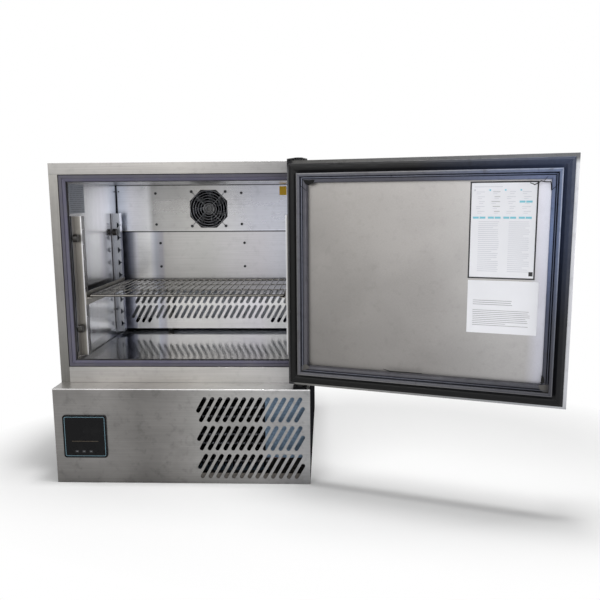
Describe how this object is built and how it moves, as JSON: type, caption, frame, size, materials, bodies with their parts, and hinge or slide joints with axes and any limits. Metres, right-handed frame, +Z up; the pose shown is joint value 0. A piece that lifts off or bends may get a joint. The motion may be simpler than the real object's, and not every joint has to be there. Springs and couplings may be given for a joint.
{
  "type": "undercounter prep refrigerator",
  "caption": "Stainless undercounter refrigerator: open solid door, wire shelf on notched uprights, fan-cooled liner and a stepped base with slanted vents and a control panel.",
  "frame": {"origin": "centre of the footprint on the floor, which is the centre of the four leg sockets", "axes": "+Z up; -Y is the front, where the door and the control panel are; +X is the hinge side"},
  "size_m": [1.2254, 0.8556, 0.8135],
  "materials": {
    "outer_steel": "brushed",
    "lining_steel": "polished",
    "galvanised_steel": "galvanised",
    "shelf_wire": "plated",
    "black_metal": "satin paint",
    "tube_metal": "satin",
    "fan_metal": "plain",
    "fin_metal": "plain",
    "copper": "plain",
    "frame_plastic": "satin",
    "black_plastic": "satin",
    "button_plastic": "satin",
    "grey_plastic": "satin",
    "seal_rubber": "matt",
    "foam": "matt"
  },
  "bodies": {
    "cabinet": {"top_panel": "outer_steel", "side_panel_left": "outer_steel", "side_panel_right": "outer_steel", "rear_panel": "outer_steel", "deck_panel": "galvanised_steel", "front_sill": "outer_steel", "foam_insulation": "foam", "liner_left": "lining_steel", "liner_right": "lining_steel", "liner_top": "lining_steel", "liner_floor": "lining_steel", "liner_back": "lining_steel", "breaker_frame": "frame_plastic", "fan_panel": "lining_steel", "duct_panel": "lining_steel", "evaporator_fins": "fin_metal", "evaporator_tubes": "copper", "evaporator_fan_frame": "black_plastic", "fan_guard": "black_metal", "drip_tray": "fin_metal", "drain_pipe": "grey_plastic", "temperature_probe": "black_plastic", "shelf_uprights": "lining_steel", "upright_knobs": "black_plastic", "shelf_runners": "lining_steel", "screws_and_studs": "black_metal", "hinge_bracket_top": "black_metal", "hinge_bracket_low": "black_metal", "base_pan": "galvanised_steel", "base_front_panel": "outer_steel", "base_side_left": "outer_steel", "base_side_right": "outer_steel", "base_rear_grille": "outer_steel", "leg_sockets": "galvanised_steel", "compressor": "black_metal", "compressor_mounts": "seal_rubber", "condenser_fins": "black_metal", "condenser_tubes": "tube_metal", "condenser_shroud": "galvanised_steel", "condenser_fan_motor": "black_metal", "air_baffle": "galvanised_steel", "filter_drier": "copper", "refrigerant_pipes": "copper", "vaporiser_tray": "grey_plastic", "electrical_box": "grey_plastic", "cable_gland": "black_plastic", "controller": "black_plastic"},
    "door": {"hinge_bushes": "black_plastic", "door_skin": "outer_steel", "door_liner": "lining_steel", "door_foam": "foam", "seal_carrier": "black_plastic", "door_seal": "seal_rubber", "door_handle": "black_plastic"},
    "evaporator_fan": {"evaporator_fan_rotor": "black_plastic"},
    "condenser_fan": {"condenser_fan_rotor": "fan_metal"},
    "shelf": {"wire_shelf": "shelf_wire"},
    "left_button": {"button_left": "button_plastic"},
    "middle_button": {"button_middle": "button_plastic"},
    "right_button": {"button_right": "button_plastic"}
  },
  "joints": [
    {"name": "door_hinge", "type": "hinge", "parent": "cabinet", "child": "door", "pos_m": [0.2995, -0.302, 0.53275], "axis": [0, 0, 1], "range_deg": [-162, 18]},
    {"name": "evaporator_fan_spin", "type": "hinge", "parent": "cabinet", "child": "evaporator_fan", "pos_m": [0.003, 0.156, 0.688], "axis": [0, 1, 0], "continuous": true},
    {"name": "condenser_fan_spin", "type": "hinge", "parent": "cabinet", "child": "condenser_fan", "pos_m": [0.105, -0.222, 0.1295], "axis": [0, 1, 0], "continuous": true},
    {"name": "shelf_slide", "type": "slide", "parent": "cabinet", "child": "shelf", "axis": [0, -1, 0], "range_m": [0, 0.3]},
    {"name": "left_button_press", "type": "slide", "parent": "cabinet", "child": "left_button", "axis": [0, 1, 0], "range_m": [0, 0.0008], "stiffness_N_per_m": 300},
    {"name": "middle_button_press", "type": "slide", "parent": "cabinet", "child": "middle_button", "axis": [0, 1, 0], "range_m": [0, 0.0008], "stiffness_N_per_m": 300},
    {"name": "right_button_press", "type": "slide", "parent": "cabinet", "child": "right_button", "axis": [0, 1, 0], "range_m": [0, 0.0008], "stiffness_N_per_m": 300}
  ]
}
